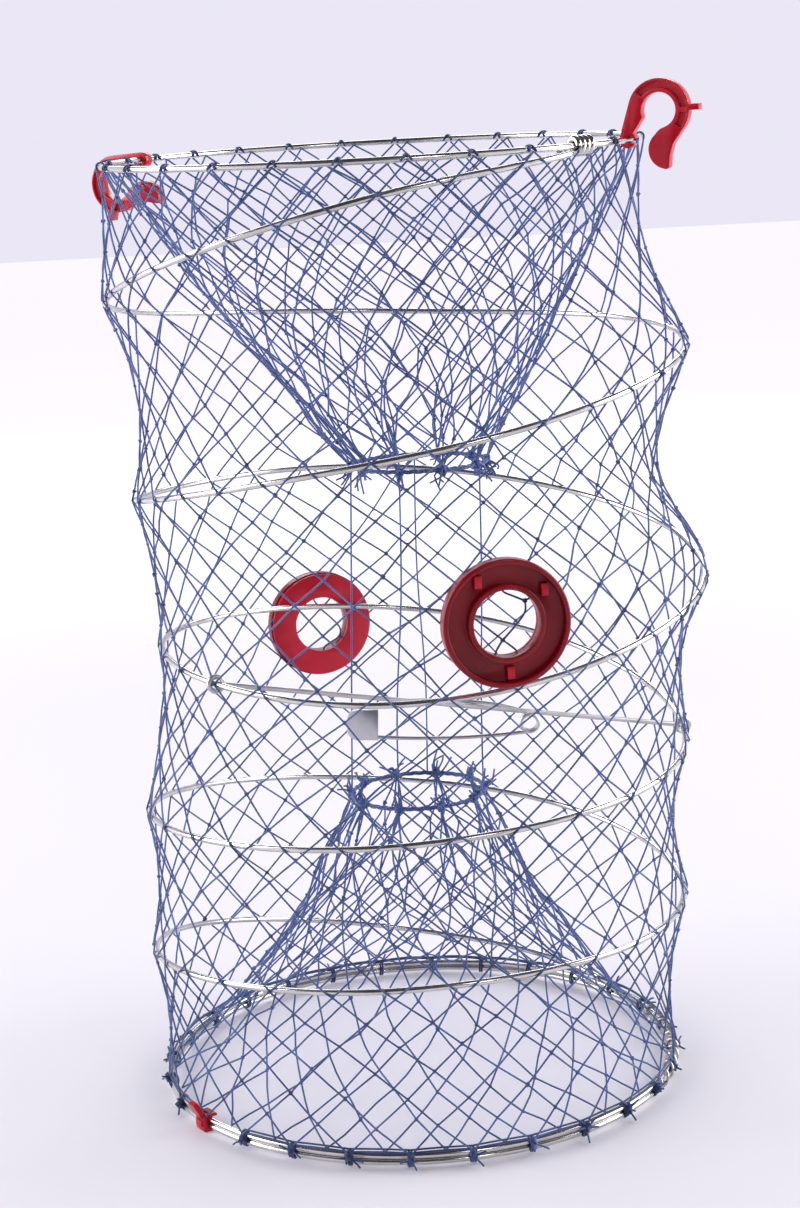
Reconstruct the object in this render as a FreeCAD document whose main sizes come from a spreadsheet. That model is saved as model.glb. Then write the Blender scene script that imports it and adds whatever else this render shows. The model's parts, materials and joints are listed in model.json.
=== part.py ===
import FreeCAD, Part
import math
import os

from FreeCAD import Placement, Rotation, Vector

doc = FreeCAD.newDocument("FoldingCrabTrap")

# ---------------------------------------------------------------- driving dimensions, mm and degrees
# Origin: centre of the bottom ring, on the floor. +Z is up, -Y is the front, +X is the right side.
SIZES = {
    # spring and end rings
    "ring_radius": 150,          # centre line of the wire
    "trap_height": 539.5,        # top ring's centre over the floor
    "wire_diameter": 3.5,
    "top_slope_right": 0.004,    # rise of the top ring per mm towards the right
    "top_slope_back": 0.037,
    "wire_gap": 0.1,             # between wires that lie against each other
    "spring_end_lead": 9,        # degrees of ring without hitches at the spring's lower end
    "spring_end_half": 12,
    "wrap_angle": -44.2,          # where the spring's end is wound round the top ring
    "wrap_turns": 3.5,
    "lash_wire": 1.6,            # thin wire that binds the two bottom rings
    "lash_first_angle": -28,
    "lash_last_angle": 19.5,
    "lash_turns": 11,
    "lash_loose": 0.65,          # slack of its oval across the rings
    "hitch_room": 1,             # from a hitch to a clip
    "wrap_room": 2.5,            # degrees from a hitch to the wire wrap
    # netting
    "twine": 1.1,
    "mesh_count": 28,            # meshes round the trap
    "net_wall": 1.2,
    "net_gap": 0.35,             # from cord or port to net
    "wire_to_net": 1.3,
    "net_sections": 36,
    "net_level_end": 30,         # the wall's last level section under the top ring
    "net_top_drop": 6.2,         # net wall's edge under the top ring
    "throat_radius": 39,
    "upper_throat_height": 362.8,
    "upper_throat_right": 15.8,
    "lower_throat_height": 168.3,
    "lower_throat_right": 5.7,
    "throat_cord": 3.0,
    "funnel_inset": 3.6,         # funnel's mouth inside the ring's centre line
    # port rings
    "port_radius": 33.5,
    "port_hole_radius": 17.5,
    "port_depth": 8,
    "port_rim": 2.8,             # outer and inner rims of the channel
    "port_floor": 2.4,
    "plate_depth": 2.2,
    "plate_inset": 0.8,
    "port_net_gap": 0.5,         # room for the twine between shell and plate
    "peg_width": 3.7,
    "peg_length": 6.2,
    "peg_stand": 3.6,            # over the channel's floor
    "peg_gap": 0.06,
    "front_port_angle": -78.2,
    "front_port_facing": -80,
    "front_port_clear": 1.08,    # from the turns' outside to the back of the plate
    "front_port_height": 300.3,
    "back_port_angle": 112.6,
    "back_port_facing": 108.7,
    "back_port_clear": 1.51,
    "back_port_height": 242,
    # hooks
    "hook_width": 7,
    "clip_gap": 0.09,            # running clearance on the ring's wire
    "clip_wall": 2.6,
    "clip_mouth": 2.8,
    "bend_radius": 9.4,          # inside of the hook's round bend
    "bend_band": 7.2,
    "bend_out": 17.5,            # bend's centre from the wire
    "bend_up": 14.6,
    "hook_recess": 1.8,
    "recess_rim": 2.2,           # inner rim left by the recess
    "recess_edge": 1.2,          # outer rim
    "tail_out": 4.2,             # tail's centre from the bend's centre
    "tail_down": 20.6,
    "tail_spread": 0.9,          # tail's curve, wider than the bend's inside
    "stub_length": 4.6,          # thumb stub, past the bend
    "stub_height": 3.2,
    "mouth_turn": -12,
    "right_hook_angle": -23,
    "right_hook_turn": 0,
    "left_hook_angle": 152.4,
    "left_hook_turn": -75,
    "lower_clip_angle": -146.6,
    "lower_clip_width": 9,
    "lower_clip_end": 1.4,       # wall over and under the two wires
    "lower_clip_round": 1.2,
    "tab_thick": 3,
    "tab_tall": 11,
    "tab_lean": 28,
    "lip_out": 2.2,
    "lip_tall": 3.4,
    # bait bar and its pin
    "bar_diameter": 2.8,
    "bar_eye_radius": 4.0,
    "bar_left_turns": 2.277,
    "bar_right_turns": 2.8885,
    "pin_wire": 2.2,
    "pin_coil_radius": 4.9,
    "pin_front": -48,            # plane of the pin
    "pin_hang_right": 28.87,     # coil's centre from where the needle rests on the bar
    "pin_hang_down": 11.96,
    "pin_tilt": 3,               # coil end down
    "pin_arm": 88.8,             # from the coil's centre to the clasp
    "clasp_length": 17.6,
    "clasp_height": 17.6,
    "clasp_depth": 5,
    "clasp_sheet": 0.8,
    "clasp_overlap": 3,          # over the arm's end
    "clasp_round": 6.5,
    "clasp_drop": 0.2,
    "arm_start": -1,             # arms leave the coil here
    "lower_arm_bow": 3.4,
    "lower_arm_end": 2.5,
    "needle_rest": 10.63,        # needle's underside over the coil's centre, on the bar
    "needle_end": 13.6,
    "needle_short": 8.8,         # needle's end before the lower arm's
    "needle_lengths": 6,
    "point_length": 9,
    "point_radius": 0.15,
}

# Height of the spring's wire at the front, left, back and right of each turn, from the top turn down.
TURN_HEIGHTS = [
    (516.6, 460.9, 439.7, 427.6),
    (386.6, 350.7, 339.9, 296.8),
    (258.4, 266.1, 246.8, 199),
    (183.1, 167.9, 131.9, 105.3),
    (104, 83.6, 29.6),
]

# The turns bulge and wander a little: height, shift of their centre to the right, extra radius.
CENTRE_LINE = [
    (0, 0, 0),
    (85, 2.4, 6.5),
    (167, 4.4, 6.1),
    (215, 8.1, 7),
    (265, 16.1, 4),
    (305, 17.2, 10.5),
    (355, 8.5, 18.8),
    (426, 9.1, 10.3),
    (485, -0.1, 6.4),
    (SIZES["trap_height"], -2.5, 0),
]

sheet = doc.addObject("Spreadsheet::Sheet", "Sizes")
for row, (alias, value) in enumerate(SIZES.items(), start=1):
    sheet.set("A%d" % row, alias)
    sheet.set("B%d" % row, str(value))
    sheet.setAlias("B%d" % row, alias)
doc.recompute()


def size(alias):
    """Value of one cell of the sheet."""
    return float(sheet.get(alias))


parts = {}


def keep(label, item):
    item.Label = label
    parts[label] = item
    return item


def shaped(label, shape, placement=Placement()):
    """A sub-part whose shape is computed from the sheet's values."""
    item = doc.addObject("Part::Feature", label)
    item.Shape = shape
    item.Placement = placement.multiply(item.Placement)
    return keep(label, item)


def primitive(kind, name, placement=Placement(), **bound):
    """A Part primitive whose properties are bound to cells of the sheet."""
    item = doc.addObject("Part::" + kind, name)
    for prop, expression in bound.items():
        item.setExpression(prop, expression)
    item.Placement = placement
    return item


def boolean(kind, name, base, tool):
    item = doc.addObject("Part::" + kind, name)
    item.Base = base
    item.Tool = tool
    return item


# ---------------------------------------------------------------- centre line, rings and spring
R = size("ring_radius")
H = size("trap_height")
WIRE = size("wire_diameter")
TWINE = size("twine")
PITCH = WIRE + size("wire_gap")              # wires that lie against each other
LASH = size("lash_wire")
LOWER_RING = LASH + size("wire_gap") + WIRE / 2
UPPER_RING = LOWER_RING + PITCH
SPRING_END = UPPER_RING + PITCH
SPRING_START_ANGLE = size("wrap_angle") - 4
ZERO_TURN_ANGLE = -40                        # angle at which the turns are counted from
SPRING_LAST_TURN = 4.78


def round_axis(angle, radius=1.0):
    a = math.radians(angle)
    return Vector(radius * math.cos(a), radius * math.sin(a), 0)


def smooth_value(knots, at, column=1):
    """Smooth value between the knots (a Catmull-Rom curve); a knot's first number is its place."""
    i = 0
    while i < len(knots) - 2 and at > knots[i + 1][0]:
        i += 1
    before = knots[max(i - 1, 0)]
    start, end = knots[i], knots[i + 1]
    after = knots[min(i + 2, len(knots) - 1)]
    span = end[0] - start[0]
    t = (at - start[0]) / span
    slope_in = (end[column] - before[column]) / (end[0] - before[0]) * span
    slope_out = (after[column] - start[column]) / (after[0] - start[0]) * span
    return ((2 * t**3 - 3 * t**2 + 1) * start[column] + (t**3 - 2 * t**2 + t) * slope_in
            + (3 * t**2 - 2 * t**3) * end[column] + (t**3 - t**2) * slope_out)


def axis_at(height):
    """Point of the centre line at a height."""
    return Vector(smooth_value(CENTRE_LINE, height, 1), 0, height)


def swell_at(height):
    """How much wider than the end rings the turns are at a height."""
    return smooth_value(CENTRE_LINE, height, 2)


def top_ring_point(angle, radius=R):
    """Point on the circle of the top ring, which lies in a sloping plane."""
    out = round_axis(angle)
    out.z = size("top_slope_right") * out.x + size("top_slope_back") * out.y
    return axis_at(H) + out.normalize() * radius


def bottom_ring_point(angle, height, radius=R):
    return round_axis(angle, radius) + Vector(0, 0, height)


def spring_knots():
    """Turns run down from the wrap, and the wire's height there."""
    first = (ZERO_TURN_ANGLE - SPRING_START_ANGLE) / 360.0
    knots = [(first, top_ring_point(SPRING_START_ANGLE).z - PITCH)]
    quarter = (ZERO_TURN_ANGLE + 90) / 360.0
    for turn, heights in enumerate(TURN_HEIGHTS):
        for step, height in enumerate(heights):
            knots.append((turn + quarter + step * 0.25, height))
    knots.append((SPRING_LAST_TURN, SPRING_END))
    return knots


KNOTS = spring_knots()


def spring_point(turns):
    """The spring is right-handed: it runs clockwise, seen from above, on its way down."""
    height = smooth_value(KNOTS, turns)
    return axis_at(height) + round_axis(ZERO_TURN_ANGLE - 360 * turns, R + swell_at(height))


def smooth_curve(points, parameters=None):
    curve = Part.BSplineCurve()
    if parameters:
        curve.interpolate(Points=points, Parameters=parameters)
    else:
        curve.interpolate(points)
    return curve


def rod(edge, diameter):
    """Round rod along one smooth edge."""
    start = edge.valueAt(edge.FirstParameter)
    along = edge.tangentAt(edge.FirstParameter)
    section = Part.Wire([Part.makeCircle(diameter / 2, start, along)])
    return Part.Wire([edge]).makePipeShell([section], True, False)


def torus(centre, normal, major, minor):
    return Part.makeTorus(major, minor, centre, normal)


TOP_NORMAL = Vector(-size("top_slope_right"), -size("top_slope_back"), 1)
TOP_TILT = Rotation(Vector(0, 0, 1), TOP_NORMAL)

steps_per_turn = 20
first_turn = KNOTS[0][0]
step_count = int(round((SPRING_LAST_TURN - first_turn) * steps_per_turn))
turns_list = [first_turn + (SPRING_LAST_TURN - first_turn) * i / step_count for i in range(step_count + 1)]
spring_line = smooth_curve([spring_point(n) for n in turns_list], turns_list)
cuts = [first_turn, 1, 2, 3, 4, SPRING_LAST_TURN]
for number, (start, end) in enumerate(zip(cuts, cuts[1:]), start=1):
    piece = spring_line.copy()
    piece.segment(start, end)
    shaped("spring_turn_%d" % number, rod(piece.toShape(), WIRE))

top_ring = primitive("Torus", "top_ring", Placement(axis_at(H), TOP_TILT),
                     Radius1="Sizes.ring_radius", Radius2="Sizes.wire_diameter / 2")
keep("top_ring", top_ring)
for label, height in (("bottom_ring_lower", LOWER_RING), ("bottom_ring_upper", UPPER_RING)):
    ring = primitive("Torus", label, Placement(Vector(0, 0, height), Rotation()),
                     Radius1="Sizes.ring_radius", Radius2="Sizes.wire_diameter / 2")
    keep(label, ring)


def ring_tangent(angle, tilted):
    along = Vector(-math.sin(math.radians(angle)), math.cos(math.radians(angle)), 0)
    if tilted:
        along.z = size("top_slope_right") * along.x + size("top_slope_back") * along.y
    return along.normalize()


def wound_wire(centre_at, first_angle, last_angle, turns, wide, tall, diameter):
    """Wire wound round a stretch of ring: an oval helix that follows the ring."""
    count = int(turns * 12)
    points = []
    for i in range(count + 1):
        share = i / count
        centre, out = centre_at(first_angle + (last_angle - first_angle) * share)
        turn = 2 * math.pi * turns * share
        points.append(centre + out * (wide * math.cos(turn)) + Vector(0, 0, tall * math.sin(turn)))
    return rod(smooth_curve(points).toShape(), diameter)


wrap_half = math.degrees(PITCH * size("wrap_turns") / 2 / R)
wrap_reach = WIRE + 3 * size("wire_gap")
shaped("top_wire_wrap", wound_wire(
    lambda a: (top_ring_point(a), round_axis(a)),
    size("wrap_angle") - wrap_half, size("wrap_angle") + wrap_half,
    size("wrap_turns"), wrap_reach, wrap_reach, WIRE))

lash_reach = WIRE / 2 + LASH / 2 + size("wire_gap")
shaped("bottom_wire_wrap", wound_wire(
    lambda a: (bottom_ring_point(a, (LOWER_RING + UPPER_RING) / 2), round_axis(a)),
    size("lash_first_angle"), size("lash_last_angle"),
    size("lash_turns"), lash_reach + size("lash_loose"), lash_reach + PITCH / 2, LASH))


# ---------------------------------------------------------------- hitches that tie the net to the rings
def angle_between(a, b):
    return abs((a - b + 180) % 360 - 180)


def hitch_angles(blocked):
    """Evenly spaced hitches, leaving out those that meet a clip or a wire wrap."""
    count = int(size("mesh_count"))
    angles = [-180 + 360.0 * (i + 0.5) / count for i in range(count)]
    return [a for a in angles if all(angle_between(a, middle) > half for middle, half in blocked)]


def stadium_loop(centre, along, out, straight, reach, diameter):
    """Closed loop of twine round one wire (straight = 0) or round two wires, one above the other."""
    up = out.cross(along).normalize()
    if up.z < 0:
        up = up * -1
    if straight == 0:
        return torus(centre, along, reach, diameter / 2)
    high, low = centre + up * straight / 2, centre - up * straight / 2
    path = Part.Wire([
        Part.Arc(high + out * reach, high + up * reach, high - out * reach).toShape(),
        Part.makeLine(high - out * reach, low - out * reach),
        Part.Arc(low - out * reach, low - up * reach, low + out * reach).toShape(),
        Part.makeLine(low + out * reach, high + out * reach),
    ])
    section = Part.Wire([Part.makeCircle(diameter / 2, high + out * reach, up)])
    return path.makePipeShell([section], True, True)


hitch_reach = WIRE / 2 + TWINE / 2 + size("wire_gap")
clip_half = math.degrees((size("hook_width") / 2 + TWINE + size("hitch_room")) / R)
top_blocked = [
    (size("wrap_angle"), wrap_half + size("wrap_room")),
    (size("right_hook_angle"), clip_half),
    (size("left_hook_angle"), clip_half),
]
shaped("top_ring_hitches", Part.makeCompound([
    stadium_loop(top_ring_point(a), ring_tangent(a, True), round_axis(a), 0, hitch_reach, TWINE)
    for a in hitch_angles(top_blocked)]))

lash_middle = (size("lash_first_angle") + size("lash_last_angle")) / 2
lash_half = (size("lash_last_angle") - size("lash_first_angle")) / 2 + size("hitch_room") * 1.5
lower_clip_half = math.degrees((size("lower_clip_width") / 2 + TWINE + size("hitch_room")) / R)
spring_end_angle = ZERO_TURN_ANGLE - 360 * SPRING_LAST_TURN
bottom_blocked = [
    (lash_middle, lash_half),
    (size("lower_clip_angle"), lower_clip_half),
    (spring_end_angle + size("spring_end_lead"), size("spring_end_half")),
]
shaped("bottom_ring_lashing", Part.makeCompound([
    stadium_loop(bottom_ring_point(a, (LOWER_RING + UPPER_RING) / 2), ring_tangent(a, False),
                 round_axis(a), PITCH, hitch_reach, TWINE)
    for a in hitch_angles(bottom_blocked)]))


# ---------------------------------------------------------------- port rings
def facing_frame(reach_angle, facing_angle, reach, height):
    """Placement at the net wall whose own Z axis points out of the trap, level."""
    centre = axis_at(height) + round_axis(reach_angle, reach)
    outward = round_axis(facing_angle)
    across = Vector(0, 0, 1).cross(outward)
    turn = Rotation(across, Vector(0, 0, 1), outward, "ZXY")
    return Placement(centre, turn)


def port_reach(side):
    """From the centre line to the back of a plate, just outside the turns."""
    return R + swell_at(size(side + "_port_height")) + WIRE / 2 + size(side + "_port_clear")


PEG_RADIUS = (size("port_radius") + size("port_hole_radius")) / 2 + 0.6
PEG_ANGLES = (122, 37, 273)


def peg_blocks(name, grow, low, high):
    """Three snap pegs, or the slots for them, standing on the plate."""
    blocks = []
    for number, angle in enumerate(PEG_ANGLES, start=1):
        spot = round_axis(angle, PEG_RADIUS)
        corner = Vector(spot.x - size("peg_width") / 2 - grow, spot.y - size("peg_length") / 2 - grow, 0)
        blocks.append(primitive(
            "Box", "%s_%d" % (name, number), Placement(corner, Rotation()),
            Length="Sizes.peg_width + %g" % (2 * grow), Width="Sizes.peg_length + %g" % (2 * grow),
            Height=high))
        blocks[-1].setExpression(".Placement.Base.z", low)
    group = doc.addObject("Part::MultiFuse", name)
    group.Shapes = blocks
    return group


def port_ring(side, frame):
    """Channel-shaped outer ring, and the plate behind the net that snaps into it."""
    floor_at = "Sizes.plate_depth + Sizes.port_net_gap"
    disc = primitive("Cylinder", side + "_disc", Radius="Sizes.port_radius", Height="Sizes.port_depth")
    disc.setExpression(".Placement.Base.z", floor_at)
    edged = doc.addObject("Part::Fillet", side + "_disc_edge")
    doc.recompute()
    front_edges = [i for i, e in enumerate(disc.Shape.Edges, start=1)
                   if e.Curve.TypeId == "Part::GeomCircle" and e.BoundBox.ZMin > size("port_depth")]
    edged.Base = disc
    edged.Edges = [(i, size("port_rim") * 0.45, size("port_rim") * 0.45) for i in front_edges]
    hole = primitive("Cylinder", side + "_hole", Placement(Vector(0, 0, -5), Rotation()),
                     Radius="Sizes.port_hole_radius", Height="Sizes.port_depth + 20")
    ring = boolean("Cut", side + "_ring", edged, hole)
    wide = primitive("Cylinder", side + "_channel_wide", Radius="Sizes.port_radius - Sizes.port_rim",
                     Height="Sizes.port_depth")
    core = primitive("Cylinder", side + "_channel_core", Radius="Sizes.port_hole_radius + Sizes.port_rim",
                     Height="Sizes.port_depth")
    channel = boolean("Cut", side + "_channel", wide, core)
    channel.setExpression(".Placement.Base.z", floor_at + " + Sizes.port_floor")
    shell = boolean("Cut", side + "_shell", ring, channel)
    slots = peg_blocks(side + "_slots", size("peg_gap"), "0", "Sizes.port_depth + 10")
    outer = boolean("Cut", side + "_outer", shell, slots)
    outer.Placement = frame
    keep("port_%s_outer" % side, outer)

    plate_disc = primitive("Cylinder", side + "_plate_disc", Radius="Sizes.port_radius - Sizes.plate_inset",
                           Height="Sizes.plate_depth")
    plate_hole = primitive("Cylinder", side + "_plate_hole", Placement(Vector(0, 0, -5), Rotation()),
                           Radius="Sizes.port_hole_radius", Height="Sizes.plate_depth + 10")
    plate = boolean("Cut", side + "_plate", plate_disc, plate_hole)
    pegs = peg_blocks(side + "_pegs", 0, "Sizes.plate_depth / 2",
                      "Sizes.plate_depth / 2 + Sizes.port_net_gap + Sizes.port_floor + Sizes.peg_stand")
    inner = boolean("Fuse", side + "_inner", plate, pegs)
    inner.Placement = frame
    keep("port_%s_inner" % side, inner)


port_frames = {
    side: facing_frame(size(side + "_port_angle"), size(side + "_port_facing"),
                       port_reach(side), size(side + "_port_height"))
    for side in ("front", "back")}
for side, frame in port_frames.items():
    port_ring(side, frame)


# ---------------------------------------------------------------- snap hooks
CLIP_HOLE = WIRE / 2 + size("clip_gap")
CLIP_OUT = CLIP_HOLE + size("clip_wall")
BEND = Vector(size("bend_out"), size("bend_up"), 0)
BEND_IN = size("bend_radius")
BEND_OUT = BEND_IN + size("bend_band")


def on_circle(centre, radius, angle):
    return centre + round_axis(angle, radius)


def arc_edge(centre, radius, first, last):
    middle = (first + last) / 2
    return Part.Arc(on_circle(centre, radius, first), on_circle(centre, radius, middle),
                    on_circle(centre, radius, last)).toShape()


def band(centre, inner, outer, first, last, depth):
    """Curved bar between two radii, from angle first to last, extruded up."""
    edges = [
        arc_edge(centre, outer, first, last),
        Part.makeLine(on_circle(centre, outer, last), on_circle(centre, inner, last)),
        arc_edge(centre, inner, last, first),
        Part.makeLine(on_circle(centre, inner, first), on_circle(centre, outer, first)),
    ]
    return Part.Face(Part.Wire(edges)).extrude(Vector(0, 0, depth))


# Directions on the hook's own circles, in degrees from its X axis.
STEM_SIDE, SHOULDER_SIDE = 162, -42
BEND_INSIDE = (-72, 200)
TAIL_INSIDE = (258, 128)
CLIP_SIDE = 45
RECESSES = ((4, 140), (-40, -7))
TAIL = BEND + Vector(size("tail_out"), -size("tail_down"), 0)
TAIL_RADIUS = BEND_IN + size("tail_spread")
TAIL_SHOULDER = TAIL + Vector(3.2, 2.8, 0)
TAIL_BACK = TAIL + Vector(1.2, -3.0, 0)
TAIL_TIP = TAIL + Vector(0.6, -TAIL_RADIUS + 1.1, 0)
TIP_BULGE = Vector(0.2, -0.6, 0)
WAIST_BULGE = Vector(-0.3, 0.5, 0)


def hook_outline():
    """Stem, round bend and curled tail, as one closed outline round the clip's wall."""
    start = on_circle(Vector(), CLIP_OUT, STEM_SIDE)
    clip_end = on_circle(Vector(), CLIP_OUT, CLIP_SIDE)
    stem_top = on_circle(BEND, BEND_OUT, STEM_SIDE)
    shoulder = on_circle(BEND, BEND_OUT, SHOULDER_SIDE)
    tip_left = on_circle(TAIL, TAIL_RADIUS, TAIL_INSIDE[0])
    waist = on_circle(TAIL, TAIL_RADIUS, TAIL_INSIDE[1])
    inside = on_circle(BEND, BEND_IN, BEND_INSIDE[0])
    return Part.Wire([
        Part.makeLine(start, stem_top),
        arc_edge(BEND, BEND_OUT, STEM_SIDE, SHOULDER_SIDE),
        Part.makeLine(shoulder, TAIL_SHOULDER),
        Part.makeLine(TAIL_SHOULDER, TAIL_BACK),
        Part.makeLine(TAIL_BACK, TAIL_TIP),
        Part.Arc(TAIL_TIP, (TAIL_TIP + tip_left) * 0.5 + TIP_BULGE, tip_left).toShape(),
        arc_edge(TAIL, TAIL_RADIUS, *TAIL_INSIDE),
        Part.Arc(waist, (waist + inside) * 0.5 + WAIST_BULGE, inside).toShape(),
        arc_edge(BEND, BEND_IN, *BEND_INSIDE),
        Part.makeLine(on_circle(BEND, BEND_IN, BEND_INSIDE[1]), clip_end),
        Part.makeLine(clip_end, start),
    ])


def hook_shape():
    """Hook in its own frame: X out of the trap, Y up, Z along the ring's wire, wire at the origin."""
    width = size("hook_width")
    recess = size("hook_recess")
    body = Part.Face(hook_outline()).extrude(Vector(0, 0, width))
    clip = Part.makeCylinder(CLIP_OUT, width)
    stub = Part.makeBox(BEND_OUT - BEND_IN + size("stub_length"), size("stub_height"), width,
                        BEND + Vector(BEND_IN + 0.8, -0.9, 0))
    hook = body.fuse([clip, stub]).removeSplitter()
    dish_inner, dish_outer = BEND_IN + size("recess_rim"), BEND_OUT - size("recess_edge")
    for level in (0, width - recess):
        for first, last in RECESSES:
            dish = band(BEND, dish_inner, dish_outer, first, last, recess)
            dish.translate(Vector(0, 0, level))
            hook = hook.cut(dish)
    wire_hole = Part.makeCylinder(CLIP_HOLE, width)
    mouth = Part.makeBox(CLIP_OUT + 4, size("clip_mouth"), width, Vector(0, -size("clip_mouth") / 2, 0))
    mouth.rotate(Vector(), Vector(0, 0, 1), size("mouth_turn"))
    return hook.cut(wire_hole).cut(mouth).removeSplitter()


def ring_clip_frame(angle, turn, width):
    """Placement on the top ring's wire, turned about the wire."""
    out = round_axis(angle)
    along = ring_tangent(angle, True)
    up = along.cross(out) * -1
    frame = Rotation(out, up, out.cross(up), "ZXY")
    centre = top_ring_point(angle) - out.cross(up) * (width / 2)
    return Placement(centre, frame).multiply(Placement(Vector(), Rotation(Vector(0, 0, 1), turn)))


hook = hook_shape()
for side in ("right", "left"):
    frame = ring_clip_frame(size(side + "_hook_angle"), size(side + "_hook_turn"), size("hook_width"))
    shaped("latch_hook_" + side, hook, frame)


def lower_clip_shape():
    """Small clip that grips both bottom rings, with a thumb tab above: X out, Y up, Z along the ring."""
    width = size("lower_clip_width")
    gap = size("clip_gap")
    wall = size("clip_wall")
    tall = PITCH + 2 * CLIP_HOLE
    end = size("lower_clip_end")
    rounded = size("lower_clip_round")
    thick, lip_tall = size("tab_thick"), size("lip_tall")
    body = Part.makeBox(2 * CLIP_HOLE + 2 * wall, tall + 2 * end, width,
                        Vector(-CLIP_HOLE - wall, -tall / 2 - end, 0))
    body = body.makeFillet(rounded, [e for e in body.Edges if abs(e.tangentAt(0).z) > 0.9])
    tab = Part.makeBox(thick, size("tab_tall"), width - 2, Vector(-thick / 2, 0, 1))
    tab = tab.makeFillet(rounded, [e for e in tab.Edges if abs(e.tangentAt(0).x) > 0.9])
    tab.rotate(Vector(), Vector(0, 0, 1), -size("tab_lean"))
    tab.translate(Vector(CLIP_HOLE + wall / 2, tall / 2 - 0.8, 0))
    lip = Part.makeBox(size("lip_out"), lip_tall, width - 3,
                       Vector(CLIP_HOLE + wall - 1.2, -lip_tall / 2, 1.5))
    clip = body.fuse([tab, lip])
    for height in (-PITCH / 2, PITCH / 2):
        clip = clip.cut(Part.makeCylinder(CLIP_HOLE, width, Vector(0, height, 0)))
    slot = Part.makeBox(CLIP_HOLE + wall + 4, PITCH + size("clip_mouth"), width,
                        Vector(-CLIP_HOLE - wall - 4, -(PITCH + size("clip_mouth")) / 2, 0))
    waist = Part.makeBox(2 * gap + 1.6, PITCH, width, Vector(-gap - 0.8, -PITCH / 2, 0))
    return clip.cut([slot, waist]).removeSplitter()


clip_out = round_axis(size("lower_clip_angle"))
clip_turn = Rotation(clip_out, Vector(0, 0, 1), clip_out.cross(Vector(0, 0, 1)), "ZXY")
clip_centre = (bottom_ring_point(size("lower_clip_angle"), (LOWER_RING + UPPER_RING) / 2)
               - clip_out.cross(Vector(0, 0, 1)) * (size("lower_clip_width") / 2))
shaped("ring_clip_lower", lower_clip_shape(), Placement(clip_centre, clip_turn))


# ---------------------------------------------------------------- bait bar and safety pin
BAR = size("bar_diameter")
bar_ends = [spring_point(size("bar_left_turns")), spring_point(size("bar_right_turns"))]
bar_way = (bar_ends[1] - bar_ends[0]).normalize()


def bar_eye(turns, centre):
    """Eye bent round the spring's wire."""
    along = (spring_point(turns + 0.002) - spring_point(turns - 0.002)).normalize()
    normal = (along - bar_way * along.dot(bar_way)).normalize()
    return torus(centre, normal, size("bar_eye_radius"), BAR / 2)


bar_eyes = [bar_eye(size("bar_left_turns"), bar_ends[0]), bar_eye(size("bar_right_turns"), bar_ends[1])]
bar_start = bar_ends[0] + bar_way * size("bar_eye_radius")
straight_length = (bar_ends[1] - bar_ends[0]).Length - 2 * size("bar_eye_radius")
straight_bar = Part.makeCylinder(BAR / 2, straight_length, bar_start, bar_way)
shaped("bait_bar", straight_bar.cut(bar_eyes))
shaped("bait_bar_eye_left", bar_eyes[0])
shaped("bait_bar_eye_right", bar_eyes[1])

PIN = size("pin_wire")
COIL = size("pin_coil_radius")
NEEDLE_SIDE = -PIN - size("wire_gap")         # the needle's plane, behind the other arm's
across_bar = bar_ends[1] - bar_ends[0]
rest_share = (size("pin_front") - NEEDLE_SIDE - bar_ends[0].y) / across_bar.y
rest_point = bar_ends[0] + across_bar * rest_share
pin_centre = Vector(rest_point.x + size("pin_hang_right"), size("pin_front"),
                    rest_point.z + BAR / 2 - size("pin_hang_down"))
pin_frame = Placement(pin_centre, Rotation(Vector(0, 1, 0), size("pin_tilt")).multiply(
    Rotation(Vector(1, 0, 0), 90)))
ARM_END = -size("pin_arm")                    # in the pin's frame: X right, Y up, Z to the front


ARM_START = size("arm_start")
LOWER_ARM = (Vector(ARM_START, -COIL, 0), Vector(-42, -COIL - size("lower_arm_bow"), 0),
             Vector(ARM_END, -COIL - size("lower_arm_end"), 0))


def arm(points, diameter):
    return rod(Part.Arc(*points).toShape(), diameter)


def pin_frame_shape():
    """Lower arm, bowed, and the coil turn that it ends in."""
    return torus(Vector(), Vector(0, 0, 1), COIL, PIN / 2).fuse(arm(LOWER_ARM, PIN)).removeSplitter()


def pin_needle_shape():
    """Upper arm with its own coil turn and a ground point, in short lengths that meet face to face."""
    line = smooth_curve([
        Vector(ARM_START, COIL, NEEDLE_SIDE),
        Vector(-14, size("needle_rest") - 1.3, NEEDLE_SIDE),
        Vector(-29.4, size("needle_rest") + PIN / 2, NEEDLE_SIDE),
        Vector(-50, size("needle_end") - 0.7, NEEDLE_SIDE),
        Vector(ARM_END + size("needle_short"), size("needle_end"), NEEDLE_SIDE)])
    count = int(size("needle_lengths"))
    first, last = line.FirstParameter, line.LastParameter
    cuts = [first + (last - first) * i / count for i in range(count + 1)]
    lengths = []
    for start, end in zip(cuts, cuts[1:]):
        piece = line.copy()
        piece.segment(start, end)
        lengths.append(rod(piece.toShape(), PIN))
    point = Part.makeCone(PIN / 2, size("point_radius"), size("point_length"),
                          line.value(last), line.tangent(last)[0])
    turn = torus(Vector(0, 0, NEEDLE_SIDE), Vector(0, 0, 1), COIL, PIN / 2)
    lengths[0] = turn.fuse(lengths[0])
    return Part.makeCompound(lengths + [point])


def upright_edges(box, before):
    return [e for e in box.Edges if abs(e.tangentAt(0).z) > 0.9 and e.BoundBox.XMax < before]


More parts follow.
